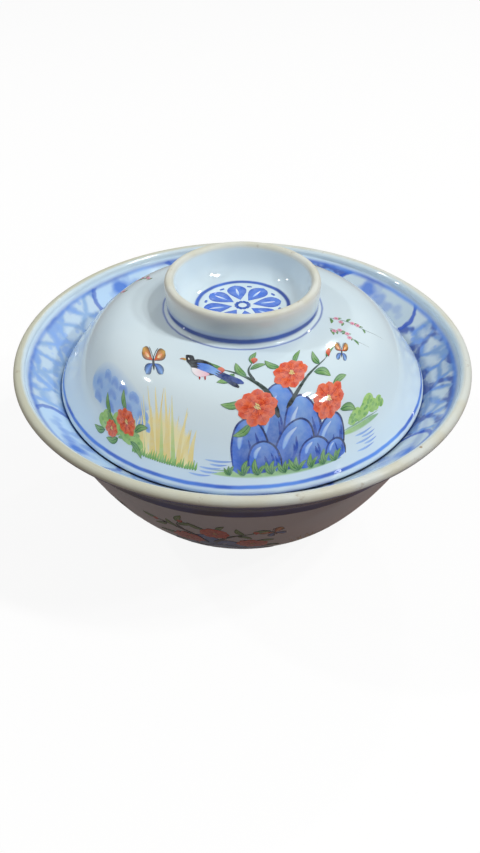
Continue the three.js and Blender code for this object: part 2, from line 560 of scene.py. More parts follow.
def blossom(chart, x, y, size, seed):
    """An open red flower of three rings of petals round a heart of dots."""
    rng = Random(seed)
    own = chart.moved(x, y)
    for ring, (petals, reach, breadth) in enumerate(PETAL_RINGS, ABOVE_ROCK + 3):
        first = rng.uniform(0, 1)
        for i in range(petals):
            angle = 2 * pi * (i + first) / petals + rng.uniform(-0.1, 0.1)
            length = size / 2 * reach * rng.uniform(0.9, 1.08)
            tip = blended(RED, CORAL, rng.uniform(0, 0.6))
            start = reached((0, 0), angle, size * 0.04)
            end = (length * cos(angle), length * sin(angle) * 0.9)
            spine = [start, blended(start, end, 0.5), end]
            own.stroke(spine, size / 2 * breadth, RED_DEEP, tip, petal, layer=ring, rim=CORAL)
            own.stroke([start, blended(start, end, 0.8)], 0.22, RED_DEEP, shape=fading, layer=ring + 1)
    for i in range(7):
        dot = reached((0, 0), i * 2.4, size * 0.028 * sqrt(i))
        own.stroke([dot, (dot[0] + 0.25, dot[1] + 0.2)], size * 0.075, YELLOW, OCHRE, layer=ABOVE_ROCK + 8)


# Stones of the rock, the tall ones behind first: place, breadth and height
STONES = (
    (-2.0, 12.0, 23.0), (5.5, 11.0, 18.5), (-9.0, 10.0, 14.0), (11.5, 9.0, 11.5),
    (1.5, 11.0, 12.5), (-5.5, 8.5, 8.0), (8.0, 9.0, 7.0), (14.0, 6.0, 5.0),
)

# A stone's outline, as shares of its breadth and height
STONE_SIDES = (
    (-0.49, 0.05), (-0.48, 0.5), (-0.3, 0.87), (0.03, 1.0), (0.32, 0.84), (0.48, 0.48), (0.5, 0.06),
)


def boulder(chart, breadth, height, rng, layer):
    """One stone of the rock: a wash that pales upwards, a dark outline and brushed shade."""
    lean = rng.uniform(-0.14, 0.14) * height
    pale = blended(COBALT, COBALT_PALE, rng.uniform(0.35, 0.9))

    def at(across, up, leaning):
        return across * breadth + leaning * lean, up * height

    spine = [at(0, t, t) for t in (0, 0.5, 1)]
    chart.stroke(spine, breadth, COBALT_DEEP, pale, stone, 0.97, layer=layer, rim=COBALT)
    chart.stroke([at(a, b, b) for a, b in STONE_SIDES], 0.5, COBALT_DEEP, INK, layer=layer + 1)
    shade_tip = blended(COBALT_DEEP, COBALT, 0.5)
    for _ in range(5):
        a, top = rng.uniform(-0.05, 0.42), rng.uniform(0.45, 0.8)
        mark = [at(a, top, top), at(a + 0.05, top * 0.6, top * 0.6), at(a - 0.04, top * 0.25, 0)]
        chart.stroke(mark, 0.07 * breadth, COBALT_DEEP, shade_tip, pointed, layer=layer + 1)
    shine = [at(-0.3, 0.42, 0.4), at(-0.22, 0.68, 0.7), at(-0.02, 0.86, 1)]
    glint, ground = blended(COBALT_PALE, WHITE, 0.5), (*COBALT, 0.97)
    chart.stroke(shine, 0.17 * breadth, COBALT_PALE, glint, pointed, 1.0, 0.6, layer + 1, ground=ground)


def rock(chart, seed):
    """A garden rock of rounded stones. Each has two layers, so that the next covers its outline."""
    rng = Random(seed)
    for k, (x, breadth, height) in enumerate(STONES):
        boulder(chart.moved(x, 0), breadth, height, rng, 1 + 2 * k)


REED_COLOURS = ((YELLOW, STRAW), (STRAW, YELLOW), (YELLOW, YELLOW), (LEAF_PALE, YELLOW))


def reeds(chart, breadth, height, seed):
    """A clump of upright grass in yellow, straw and green, on a yellow wash."""
    rng = Random(seed)
    half = breadth / 2
    wash = [(-half, height * 0.3), (0, height * 0.36), (half, height * 0.3)]
    chart.stroke(wash, height * 0.6, YELLOW, YELLOW, cloud, 0.95, 0.5)
    count = int(breadth * 1.3)
    for i in range(count):
        x = -half + breadth * (i + rng.uniform(0.1, 0.9)) / count
        tall = height * rng.uniform(0.55, 1.0) * (1 - 0.5 * (x / half) ** 2)
        lean = rng.uniform(-0.16, 0.16) + x / breadth * 0.3
        colour, tip = rng.choice(REED_COLOURS)
        spine = [(x, 0.2), (x + lean * tall * 0.4, tall * 0.55), (x + lean * tall, tall)]
        chart.stroke(spine, rng.uniform(1.1, 2.1), colour, tip, fading, layer=2 + i % 3)
    for i in range(-1, count + 3):
        x = -half + breadth * i / count
        blade = [(x - 0.3, 0), (x + 0.4, rng.uniform(1.5, 3.2))]
        chart.stroke(blade, 0.9, LEAF, LEAF_PALE, fading, layer=6)


def butterfly(chart):
    """A butterfly with spread wings."""
    for side in (-1, 1):
        upper = [(0.3 * side, 0.6), (2.4 * side, 2.0), (4.6 * side, 3.6)]
        lower = [(0.3 * side, -0.2), (1.9 * side, -1.4), (3.0 * side, -3.0)]
        feeler = [(0.2 * side, 1.6), (0.9 * side, 3.0), (1.9 * side, 4.2)]
        chart.stroke(upper, 3.4, RED, OCHRE, petal, layer=6, rim=INK)
        chart.stroke(lower, 2.7, COBALT, COBALT_PALE, petal, layer=7, rim=INK)
        chart.stroke([(1.6 * side, 1.4), (3.6 * side, 2.6)], 0.9, YELLOW, CORAL, pointed, layer=8)
        chart.stroke(feeler, 0.22, INK, layer=8)
    chart.stroke([(0, -2.0), (0, 0.2), (0, 1.9)], 0.9, INK, shape=pointed, layer=9)


def bird(chart):
    """A small dark bird: tail, back, breast, head, beak and eye, then its wing and legs."""
    layer = ABOVE_ROCK + 3
    chart.stroke([(2.4, -0.4), (6.0, -2.2), (9.8, -4.4)], 1.5, INK, COBALT_DEEP, layer=layer)
    chart.stroke([(2.6, -0.8), (5.6, -2.9), (8.6, -5.4)], 1.2, COBALT_DEEP, INK, layer=layer)
    chart.stroke([(-3.4, 0.6), (0, 0.4), (4.2, -1.2)], 4.6, INK, shape=pointed, layer=layer + 1)
    chart.stroke([(-2.9, -0.4), (-1.2, -1.5), (1.8, -1.7)], 2.2, WHITE, PINK_PALE, pointed, layer=layer + 2)
    chart.stroke([(-4.3, 1.6), (-3.2, 2.0), (-2.0, 1.9)], 3.0, INK, layer=layer + 2)
    chart.stroke([(-4.4, 1.8), (-5.4, 1.8), (-6.2, 1.5)], 0.8, OCHRE, RED_DEEP, fading, layer=layer + 2)
    chart.stroke([(-3.75, 2.15), (-3.45, 2.2)], 0.6, WHITE, layer=layer + 3)
    for k in range(3):
        feather = [(-1.4, 1.3 - 0.7 * k), (1.6, 0.8 - 0.75 * k), (4.8 - 0.5 * k, -0.9 - 0.5 * k)]
        chart.stroke(feather, 1.1, COBALT, COBALT_PALE, pointed, layer=layer + 3)
    for x in (-0.8, 0.6):
        chart.stroke([(x, -1.8), (x - 0.1, -3.4)], 0.35, RED_DEEP, layer=layer)


def bamboo(chart, height, seed):
    """A jointed stem with drooping leaves."""
    rng = Random(seed)
    joints = [(0.3 * sin(k), k * height / 5) for k in range(6)]
    for a, b in zip(joints, joints[1:]):
        chart.stroke([blended(a, b, 0.04), blended(a, b, 0.96)], 1.0, LEAF_DEEP, LEAF, layer=2)
    for x, y in joints[2:]:
        for side in (-1, 1):
            for k in range(2):
                lean = 90 - side * rng.uniform(70, 140)
                leaf(chart, x, y + k, rng.uniform(4.2, 6.2), lean, LEAF_DEEP, LEAF, width=0.24)


STEM = ((0, 0), (0.02, -0.3), (-0.03, -0.65), (0.04, -1))


def sprig(chart, length, seed):
    """A thin hanging stem with small pink flowers and leaves along its upper half."""
    rng = Random(seed)
    stem = [(length * x, length * y) for x, y in STEM]
    chart.stroke(stem, 0.55, LEAF_DEEP, INK, fading, 0.7, 0.4, layer=3)
    for k in range(7):
        x, y = rng.uniform(-0.6, 0.6), -length * (0.04 + 0.56 * k / 6)
        side = rng.choice((-1, 1))
        leaf(chart, x, y, rng.uniform(1.8, 2.8), -90 + side * rng.uniform(25, 75), layer=4)
        if k not in (1, 2, 4, 5):
            continue
        heart = (x + side * 0.7, y)
        for i in range(5):
            tip = reached(heart, i * 1.256 + rng.uniform(-0.3, 0.3), 0.85)
            chart.stroke([heart, tip], 0.8, PINK, PINK_PALE, petal, layer=6)
        chart.stroke([(heart[0] - 0.1, y), (heart[0] + 0.15, y)], 0.4, RED_DEEP, layer=7)


TREE_ROWS = ((5.4, 5.0), (3.2, 7.5), (1.2, 8.0))  # height and half the breadth of each row
TREE_TOP = ((-1.5, -0.5), (-0.6, 0.5), (0.6, 0.5), (1.5, -0.5))


def hills(chart, seed):
    """Distant trees: one soft blue wash with rows of small arcs on it."""
    rng = Random(seed)
    wash = [(-12, 2.6), (-4, 4.2), (4, 3.4), (11, 2.2)]
    ground = (*COBALT_PALE, 0.75)
    chart.stroke(wash, 11.0, COBALT_PALE, COBALT_PALE, cloud, 0.75, 0.6, layer=0)
    for row, (y, half) in enumerate(TREE_ROWS, 1):
        for k in range(4):
            x = -half + half * k / 1.5 + rng.uniform(-0.8, 0.8)
            tree = chart.moved(x, y + rng.uniform(-0.4, 0.4))
            deep = blended(COBALT, COBALT_PALE, rng.uniform(0.25, 0.6))
            tree.stroke(TREE_TOP, 2.3, deep, deep, cloud, 0.85, 0.75, row, ground=ground)


# Clumps of a bush: place across and up, size, and how deep their green is
BUSH_CLUMPS = ((-0.26, 0.36, 0.6, 0.3), (0.26, 0.32, 0.55, 0.5), (0.0, 0.58, 0.7, 0.0))


def bush(chart, breadth, seed, layer=2):
    """A round green bush: a pale wash with dabs of leaf colour."""
    rng = Random(seed)
    height = breadth * 0.8
    for x, y, size, tone in BUSH_CLUMPS:
        half = breadth * size / 2
        own = chart.moved(x * breadth, y * height)
        green = blended(LEAF_PALE, LEAF, tone)
        clump = [(-half, 0), (0, 0.08 * height), (half, 0)]
        own.stroke(clump, height * size, green, LEAF_PALE, cloud, layer=layer)
    for k in range(int(breadth * 2.2)):
        angle, away = rng.uniform(0, 6.28), sqrt(rng.random())
        x, y = breadth * 0.42 * away * cos(angle), height * (0.5 + 0.36 * away * sin(angle))
        green = blended(LEAF, LEAF_PALE, rng.uniform(0.0, 0.8))
        dab = [(x - 0.5, y), (x, y + 0.3), (x + 0.6, y + 0.1)]
        chart.stroke(dab, rng.uniform(0.6, 1.0), green, shape=pointed, layer=layer + 1 + k % 2)


def water(chart, breadth, seed):
    """A few ripples in pale blue."""
    rng = Random(seed)
    for k in range(5):
        x, y = rng.uniform(-0.3, 0.3) * breadth, -1.1 * k
        half = breadth * rng.uniform(0.2, 0.34)
        ripple = [(x - half, y), (x, y - 0.25), (x + half, y)]
        chart.stroke(ripple, 0.75, COBALT_PALE, COBALT, pointed, 0.75, 0.4)


def bank(chart, breadth):
    """A low green bank with a darker top."""
    half = breadth / 2
    chart.stroke([(-half, 0), (0, 0.3), (half, 0)], 2.6, LEAF_PALE, LEAF, pointed, 0.85, 0.4)
    chart.stroke([(-half, 0.8), (0, 1.2), (half, 0.9)], 0.7, LEAF, LEAF_DEEP, pointed, 0.7, 0.4, layer=2)


# Round the rock: branches with breadths, leaves with directions in degrees, blossoms with sizes, and buds
ROCK_BRANCHES = (
    (1.5, [(2, 14), (-1, 21), (-7, 26), (-13, 28)]),
    (0.9, [(-4, 24), (-5.5, 27.5), (-4.5, 30.5)]),
    (1.3, [(4, 16), (10, 23), (17, 26)]),
)
ROCK_LEAVES = (
    (-12, 28, 160), (-9, 26.5, 215), (-6, 25.6, 120), (-4.6, 30, 75), (-5, 28, 20),
    (16.5, 26, 20), (14, 25, 110), (12, 23.5, -30), (-7, 18.5, 190), (-5, 13, 215),
    (17, 18, 10), (19, 12, -20), (6.5, 27.6, 60), (2.5, 27.5, 140),
)
ROCK_BLOSSOMS = ((-3.5, 17.0, 10.5), (5.5, 25.0, 9.5), (15.5, 15.5, 10.0))
ROCK_BUDS = ((-12.5, 27.2), (-4.2, 31.0), (17.5, 26.6))


def rock_garden(chart, seed):
    """The main picture: a blue rock with red flowers, dark branches and tufts of leaves."""
    bank(chart.moved(2, 0.6), 34)
    rock(chart.moved(4, 1, 0.95), seed)
    for width, points in ROCK_BRANCHES:
        chart.stroke(points, width, INK, blended(INK, LEAF_DEEP, 0.4), fading, layer=ABOVE_ROCK)
    rng = Random(seed + 1)
    for x, y, lean in ROCK_LEAVES:
        leaf(chart, x, y, rng.uniform(4.2, 6.0), lean, layer=ABOVE_ROCK + 1)
    for own_seed, (x, y, size) in enumerate(ROCK_BLOSSOMS, seed + 2):
        blossom(chart, x, y, size, own_seed)
    for x, y in ROCK_BUDS:
        chart.stroke([(x, y - 1), (x + 0.3, y + 1.2)], 1.8, RED_DEEP, CORAL, petal, layer=ABOVE_ROCK + 3)
    for k in range(9):
        for lean in (60, 90, 125):
            length = rng.uniform(2.2, 4.2)
            leaf(chart, -10 + 3.4 * k, 0.4, length, lean + rng.uniform(-12, 12), layer=ABOVE_ROCK + 1)


# The pictures on the lid and on the bowl's outside

LID_MARGIN = 2.4  # from the dome's edge up to the ground of its pictures
WALL_MARGIN = 13  # from the foot up to the ground of the outside's pictures

# The lid's bushes with breadth and seed, leaves with direction, and sprigs: turn, start, length and seed
LEFT_BUSHES = ((-45, 3.2, 8, 34), (-39.5, 3.0, 10, 35), (-34, 3.0, 7, 36))
LEFT_LEAVES = (
    (-41, 7, 150), (-33.5, 8, 30), (-37.4, 12.4, 110), (-35, 5, -40),
    (-40, 4, 200), (-44, 9, 120), (-46, 4, 190),
)
RIGHT_BUSHES = ((36, 6, 29), (41.5, 8, 30), (46.5, 5, 31))
SPRIGS = ((-15, 43, 19, 41), (-26, 41, 14, 43), (158, 29, 18, 45), (146, 34, 15, 47))


def paint_lid():
    art = Painting(lid)
    edge = lid.start["dome"]
    front, back = (art.around(turn, edge + LID_MARGIN) for turn in (-90, 90))
    rock_garden(front.moved(8, 1.6, 1.16), 11)
    bird(front.moved(-12, 33.0, 1.2, 0.1))
    reeds(front.moved(-24, 2.4), 18, 22, 21)
    water(front.moved(-10, 6.0), 13, 23)
    hills(front.moved(-41, 9, 1.35), 25)
    for x, y, breadth, seed in LEFT_BUSHES:
        bush(front.moved(x, y), breadth, seed, layer=6)
    blossom(front, -37, 9.5, 8.0, 26)
    blossom(front, -43, 5.5, 5.5, 28)
    for x, y, lean in LEFT_LEAVES:
        leaf(front, x, y, 5.4, lean, layer=10)
    butterfly(front.moved(-29, 29, 1.1, 0.35))
    for x, breadth, seed in RIGHT_BUSHES:
        bush(front.moved(x, 9), breadth, seed)
    bank(front.moved(38, 8.4), 16)
    butterfly(front.moved(34, 30, 0.7, -0.5))
    water(front.moved(38, 6.4), 13, 33)
    for turn, start, length, seed in SPRIGS:
        sprig(art.around(turn, edge + start), length, seed)
    rock_garden(back.moved(-2, 2.0), 51)
    reeds(back.moved(27, 3.0), 13, 15, 53)
    butterfly(back.moved(-25, 24, 0.8, 0.4))
    paint_rosette(art)
    return art


def paint_rosette(art):
    """Eight petals round a small ring, on the floor inside the ring knob."""
    chart = Chart(art, lambda x, y: (atan2(y, x), lid.along[-1] - hypot(x, y)))

    def outwards(angle, *distances):
        return [reached((0, 0), angle, d) for d in distances]

    for k in range(8):
        angle = pi * k / 4 + 0.2
        dot = outwards(angle + pi / 8, 11.6, 12.528)
        spine = outwards(angle, 3.4, 7.5, 12.8)
        chart.stroke(spine, 6.4, COBALT, COBALT, petal, 0.97, layer=2, rim=LINE_DEEP)
        chart.stroke(outwards(angle, 6.0, 10.8), 0.8, COBALT_PALE, WHITE, pointed, layer=3)
        chart.stroke(dot, 1.7, COBALT, COBALT_DEEP, layer=2)
    for k in range(12):
        start, end = (reached((0, 0), pi * k / 6 + turn, 2.1) for turn in (0, 0.6))
        chart.stroke([start, blended(start, end, 0.5), end], 1.3, COBALT_DEEP, COBALT, layer=2)


def paint_bowl():
    art = Painting(bowl)
    for turn, seed in ((-104, 81), (76, 91)):
        outside = art.around(turn, bowl.start["wall"] + WALL_MARGIN)
        rock_garden(outside.moved(0, 0, 1.05), seed)
        reeds(outside.moved(34, 1), 15, 18, seed + 1)
        bamboo(outside.moved(-30, 0), 24, seed + 2)
        butterfly(outside.moved(24, 27, 0.9, 0.4))
        hills(outside.moved(54, 2), seed + 4)
        water(outside.moved(56, 0), 12, seed + 5)
    return art


lid_art = paint_lid()
bowl_art = paint_bowl()


# Materials

# On the border this change is painted light on the left and painted shade on the right
SIDES = (-0.055, 0.02)  # metres along X, between which a tone changes from left to right
BUMP_HEIGHT = 0.00006


class Shading:
    """The nodes of a material or of the world, made with short calls."""

    def __init__(self, owner, coordinates="Object"):
        self.owner = owner
        owner.use_nodes = True
        self.tree = owner.node_tree
        self.tree.nodes.clear()
        self.place = self.node("ShaderNodeTexCoord").outputs[coordinates]

    def node(self, kind, inputs=(), **settings):
        """A new node with its settings, and its inputs by name or number."""
        node = self.tree.nodes.new(kind)
        for key, value in settings.items():
            setattr(node, key, value)
        for key, value in dict(inputs).items():
            self.put(node.inputs[key], value)
        return node

    def put(self, socket, value):
        """Links a socket to a value from another node, or sets it to a constant."""
        if isinstance(value, bpy.types.NodeSocket):
            self.tree.links.new(value, socket)
        elif socket.type == "RGBA":
            socket.default_value = (*value, 1.0)
        else:
            socket.default_value = value

    def math(self, operation, *values, clamp=False):
        node = self.node("ShaderNodeMath", enumerate(values), operation=operation, use_clamp=clamp)
        return node.outputs[0]

    def times(self, a, b, plus=0.0):
        return self.math("MULTIPLY_ADD", a, b, plus)

    def ramp(self, value, low, high, to_low=0.0, to_high=1.0):
        """A smooth step, which falls where high is less than low."""
        names = ("Value", "From Min", "From Max", "To Min", "To Max")
        inputs = zip(names, (value, low, high, to_low, to_high))
        return self.node("ShaderNodeMapRange", inputs, interpolation_type="SMOOTHSTEP").outputs[0]

    def parts(self, kind, whole):
        return self.node(kind, {0: whole}).outputs

    def mix(self, share, a, b):
        node = self.node("ShaderNodeMix", {"Factor": share}, data_type="RGBA")
        for socket, colour in zip((s for s in node.inputs if s.type == "RGBA"), (a, b)):
            self.put(socket, colour)
        return next(s for s in node.outputs if s.type == "RGBA")

    def noise(self, scale, detail=2.0, roughness=0.5, output=0):
        inputs = {"Vector": self.place, "Scale": scale, "Detail": detail, "Roughness": roughness}
        return self.node("ShaderNodeTexNoise", inputs).outputs[output]

    def cells(self, place, scale, **settings):
        return self.node("ShaderNodeTexVoronoi", {"Vector": place, "Scale": scale}, **settings).outputs

    def by_side(self, amount, left, right):
        """An amount with one strength on the left and another on the right."""
        x = self.parts("ShaderNodeSeparateXYZ", self.place)["X"]
        return self.times(amount, self.ramp(x, *SIDES, left, right))

    def specks(self, scale, size, share):
        """Small dots in some of the cells of a scattered grid."""
        cells = self.cells(self.place, scale)
        dot = self.ramp(cells["Distance"], size, size * 0.5)
        chance = self.parts("ShaderNodeSeparateColor", cells["Color"])[0]
        return self.times(dot, self.math("LESS_THAN", chance, share))

    def glaze(self):
        """The bare glaze: blue-white with a faint drift of tone and a few iron specks."""
        tone = self.mix(self.ramp(self.noise(26.0, 3.0), 0.35, 0.65), GLAZE_COOL, GLAZE_WARM)
        return self.mix(self.times(self.specks(140.0, 0.06, 0.05), 0.7), tone, SPECK)

    def gloss(self):
        """The glaze's roughness."""
        return self.ramp(self.noise(70.0), 0.3, 0.7, 0.035, 0.07)

    def ripple(self):
        """The height of the glaze's faint waves."""
        return self.noise(75.0, 1.0)

    def finish(self, colour, roughness, height):
        bump = self.node("ShaderNodeBump", {"Height": height, "Strength": 1.0, "Distance": BUMP_HEIGHT})
        inputs = {"Base Color": colour, "Roughness": roughness, "Normal": bump.outputs[0], "IOR": 1.5}
        shader = self.node("ShaderNodeBsdfPrincipled", inputs)
        self.node("ShaderNodeOutputMaterial", {0: shader.outputs[0]})
        return self.owner


# The border inside the bowl's rim, between two lines: four panels of cells, and four reserves with flowers

BORDER_OUTER = bowl.find("flare", lambda r, z: r < 70.15)
BORDER_INNER = bowl.find("flare", lambda r, z: r < 60.6)
BORDER_WIDTH = BORDER_INNER - BORDER_OUTER
BORDER_RADIUS = 65.4
RESERVE_TURN = radians(39)  # the middle of one of the four reserves
RESERVE_HALF = 15.5
RESERVE_BULGE = 3.4
STRAY_ALONG = 2.4  # how far the brush strays, in millimetres
STRAY_ACROSS = 1.8
STRAY_SCALE = 240.0
CELL_SCALE = 128.0
CELL_WARP = 0.0024  # metres

# Soft spots of a reserve's flowers: place along and across the border, size and depth
FLOWER_SPOTS = (
    (-1.0, 5.6, 4.0, 0.5), (2.6, 5.2, 3.0, 0.4), (6.0, 3.8, 4.6, 0.85), (9.6, 5.8, 3.0, 0.25),
    (2.0, 2.2, 2.2, 0.25), (-6.0, 6.6, 3.2, 0.4), (-10.0, 5.0, 2.8, 0.3), (-13.0, 6.8, 2.4, 0.2),
    (3.0, 9.6, 3.6, 0.5), (-5.0, 10.2, 2.8, 0.35),
)


def border(shade, colour, along):
    """The colour with the border's soft underglaze blue over it, paler on the left as painted light and
    deeper on the right as painted shade.
    """
    stray = shade.noise(STRAY_SCALE, output="Color")
    sideways, upwards = shade.parts("ShaderNodeSeparateColor", stray)[:2]
    place = shade.parts("ShaderNodeSeparateXYZ", shade.place)
    turn = shade.math("SUBTRACT", shade.math("ARCTAN2", place["Y"], place["X"]), RESERVE_TURN)
    turn = shade.math("WRAP", turn, pi / 4, -pi / 4)
    x = shade.times(turn, BORDER_RADIUS, -STRAY_ALONG / 2)
    x = shade.times(sideways, STRAY_ALONG, x)
    y = shade.math("SUBTRACT", along, BORDER_OUTER + STRAY_ACROSS / 2)
    y = shade.times(upwards, STRAY_ACROSS, y)
    inside = shade.times(shade.ramp(y, -0.7, 0.5), shade.ramp(y, BORDER_WIDTH + 0.7, BORDER_WIDTH - 0.5))
    across = shade.times(y, 2 / BORDER_WIDTH, -1.0)
    bulge = shade.times(across, across)
    end = shade.times(bulge, -RESERVE_BULGE, RESERVE_HALF + RESERVE_BULGE)
    past_end = shade.math("SUBTRACT", shade.math("ABSOLUTE", x), end)
    panel = shade.times(inside, shade.ramp(past_end, -0.4, 0.4))
    bracket = shade.times(inside, shade.ramp(shade.math("ABSOLUTE", past_end), 1.5, 0.5))
    # painted light: a paler sky-blue over the border's left side
    colour = shade.mix(shade.by_side(inside, 0.65, 0.0), colour, BORDER_TINT)
    # painted shade: the border's right side is greyed
    colour = shade.mix(shade.by_side(inside, 0.0, 0.3), colour, BORDER_PAINTED_SHADE)
    # painted light and shade: the cells and brackets are paler on the left than on the right
    colour = shade.mix(shade.by_side(panel, 0.62, 0.9), colour, cell_wash(shade, stray, across))
    colour = shade.mix(shade.by_side(bracket, 0.7, 0.92), colour, LINE_DEEP)
    for u, v, size, depth in FLOWER_SPOTS:
        du, dv = shade.math("SUBTRACT", x, u), shade.math("SUBTRACT", y, v)
        away = shade.math("SQRT", shade.times(du, du, shade.times(dv, dv)))
        colour = shade.mix(shade.times(shade.ramp(away, size, size * 0.35), depth), colour, FLOWER_BLUE)
    return colour


def cell_wash(shade, stray, across):
    """Pale cells with soft blue between them, darker in blots and towards the border's lines."""
    inputs = enumerate((stray, (CELL_WARP,) * 3, shade.place))
    warped = shade.node("ShaderNodeVectorMath", inputs, operation="MULTIPLY_ADD").outputs[0]
    gap = shade.cells(warped, CELL_SCALE, feature="DISTANCE_TO_EDGE")["Distance"]
    load = shade.noise(125.0)
    wash = shade.mix(shade.ramp(gap, 0.26, 0.02), BORDER_PALE, BORDER_WASH)
    veins = shade.times(shade.ramp(gap, 0.13, 0.01), shade.ramp(load, 0.4, 0.56))
    wash = shade.mix(shade.times(veins, 0.75), wash, LINE_PALE)
    edge = shade.ramp(shade.math("ABSOLUTE", across), 0.25, 0.9)
    loaded = shade.ramp(shade.times(edge, 0.15, load), 0.57, 0.67)
    blots = shade.times(loaded, shade.ramp(gap, 0.34, 0.06))
    # painted light and shade: blots pale on the left and deep on the right
    wash = shade.mix(shade.by_side(blots, 0.7, 0.0), wash, LINE_PALE)
    wash = shade.mix(shade.by_side(blots, 0.15, 0.95), wash, BLOT_DEEP)
    return shade.mix(shade.times(shade.specks(330.0, 0.42, 0.22), 0.5), wash, LINE_PALE)


def bare_clay(shade, tones, left_share):
    """Unglazed clay with stains and specks, darker and yellower on the left."""
    clay = shade.mix(shade.ramp(shade.noise(90.0, 4.0), 0.35, 0.7), *tones)
    # darker, yellower clay towards the left side
    clay = shade.mix(shade.by_side(1.0, left_share, 0.0), clay, LEFT_CLAY)
    stain = shade.times(shade.ramp(shade.noise(230.0, 4.0, 0.65), 0.62, 0.74), 0.5)
    clay = shade.mix(stain, clay, CLAY_STAIN)
    return shade.mix(shade.times(shade.specks(260.0, 0.16, 0.08), 0.9), clay, CLAY_STAIN)


def body_material(name, rings, bare, clay_tones, left_share, pattern=None):
    """Glaze with cobalt rings brushed round it, and stretches of bare clay."""
    shade = Shading(bpy.data.materials.new(name))
    along = shade.node("ShaderNodeAttribute", attribute_name="along").outputs["Fac"]
    along = shade.math("ADD", along, shade.times(shade.noise(160.0), 0.5, -0.25))
    colour = shade.glaze()
    if pattern:
        colour = pattern(shade, colour, along)
    load = shade.ramp(shade.noise(55.0, 3.0), 0.38, 0.66)
    for centre, width, deep, pale, soft, cover in rings:
        away = shade.math("ABSOLUTE", shade.math("SUBTRACT", along, centre))
        ring = shade.ramp(away, width / 2 + soft, width / 2 - soft)
        colour = shade.mix(shade.by_side(ring, *cover), colour, shade.mix(load, deep, pale))
    clay = 0.0
    for low, high, soft in bare:
        begun = shade.ramp(along, low - soft, low + soft)
        part = shade.times(begun, shade.ramp(along, high + soft, high - soft))
        clay = shade.math("MAXIMUM", clay, part)
    colour = shade.mix(clay, colour, bare_clay(shade, clay_tones, left_share))
    gloss = shade.gloss()
    matt = shade.ramp(shade.noise(400.0, 3.0), 0.3, 0.7, 0.42, 0.6)
    roughness = shade.times(clay, shade.math("SUBTRACT", matt, gloss), gloss)
    grain = shade.times(shade.noise(1800.0, 3.0), shade.times(clay, 0.5))
    return shade.finish(colour, roughness, shade.math("ADD", shade.ripple(), grain))


def paint_material(name):
    """Brushwork under the gloss of the glaze: the colour and cover that each stroke carries."""
    shade = Shading(bpy.data.materials.new(name))
    paint = shade.node("ShaderNodeAttribute", attribute_name="paint").outputs
    patchy = shade.ramp(shade.noise(420.0, 3.0, 0.6), 0.3, 0.72, 1.0, 0.84)
    cover = shade.math("MULTIPLY", paint["Alpha"], patchy, clamp=True)
    colour = shade.mix(cover, shade.glaze(), paint["Color"])
    return shade.finish(colour, shade.gloss(), shade.ripple())


# Rings: centre and width along the outline, deep and pale tone, soft edge, and cover on the left and right.
# Bare stretches: start, end and soft edge.

lip_start = bowl.start["lip"] + 1.1
lip_end = bowl.find("lip", lambda r, z: z > 64 and r < 72.3)
band_low = bowl.find("wall", lambda r, z: z > 48.0)
band_high = lip_start - 0.1
bowl_rings = [
    (BORDER_OUTER - 1.2, 1.6, BORDER_TINT, BORDER_WASH, 1.3, (0.4, 0.4)),
    # painted light: the outer line is paler on the left
    (BORDER_OUTER, 1.5, LINE_DEEP, LINE_PALE, 0.8, (0.6, 0.8)),
    (BORDER_INNER, 1.5, LINE_DEEP, LINE_PALE, 0.6, (0.92, 0.92)),
    ((band_low + band_high) / 2, band_high - band_low, BAND_DARK, COBALT_DEEP, 0.4, (0.94, 0.94)),
]
bowl_bare = [(lip_start, lip_end, 0.6), (bowl.start["foot"] + 0.6, bowl.start["ring"] - 2.0, 0.35)]

edge_line = lid.start["dome"] + 1.1
knob_line = lid.start["knob"]
knob_rim = lid.start["rim"]
recess_line = lid.find("recess", lambda r, z: r < 14.8)
lid_rings = [
    (knob_rim + 1.5, 4.0, THIN_GLAZE, THIN_GLAZE, 3.0, (0.85, 0.85)),
    (knob_line + 4.0, 1.8, LINE_PALE, BORDER_TINT, 0.9, (0.4, 0.4)),
    (edge_line, 1.1, LINE_DEEP, LINE_PALE, 0.3, (0.94, 0.94)),
    (knob_line + 2.95, 1.7, COBALT_DEEP, LINE_DEEP, 0.45, (0.94, 0.94)),
    (knob_line + 0.3, 0.6, COBALT_DEEP, LINE_DEEP, 0.3, (0.7, 0.7)),
    (recess_line, 1.3, COBALT_DEEP, COBALT, 0.35, (0.94, 0.94)),
]
lid_bare = [(knob_rim + 1.7, lid.find("rim", lambda r, z: r < 21.9) + 0.5, 0.7)]

for surface, art, name, look in (
    (bowl, bowl_art, "bowl", (bowl_rings, bowl_bare, LIP_CLAY, 0.9, border)),
    (lid, lid_art, "lid", (lid_rings, lid_bare, KNOB_CLAY, 0.0)),
):
    body = surface.mesh(name + "_body")
    body.data.materials.append(body_material(name + "_porcelain_look", *look))
    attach(body, name)
    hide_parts(name)
    brushwork = art.mesh(name + "_brushwork")
    brushwork.data.materials.append(paint_material(name + "_brushwork_look"))
    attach(brushwork, name)


# Floor, light and camera, in metres

FLOOR_HALF = 3
FLOOR_WHITE = srgb(250, 250, 250)
FLOOR_BOUNCE = srgb(94, 55, 40)
FLOOR_GLOW = 0.9  # how much of the white seen is the floor's own glow
FLOOR_GLOSSY_SHARE = 0.12  # how much of the floor's white the glaze mirrors
GLOSSY_SHARE = 0.26  # how much of the white background it mirrors

# The sky's sides: axis, how far along it the full brightness is reached, and that brightness
SKY_SIDES = (("X", -0.8, 0.52), ("X", 0.8, 0.42), ("Y", 0.8, 0.24), ("Y", -0.8, 0.36))
SKY_BASE = (0.1, 0.5)  # the heights between which it begins

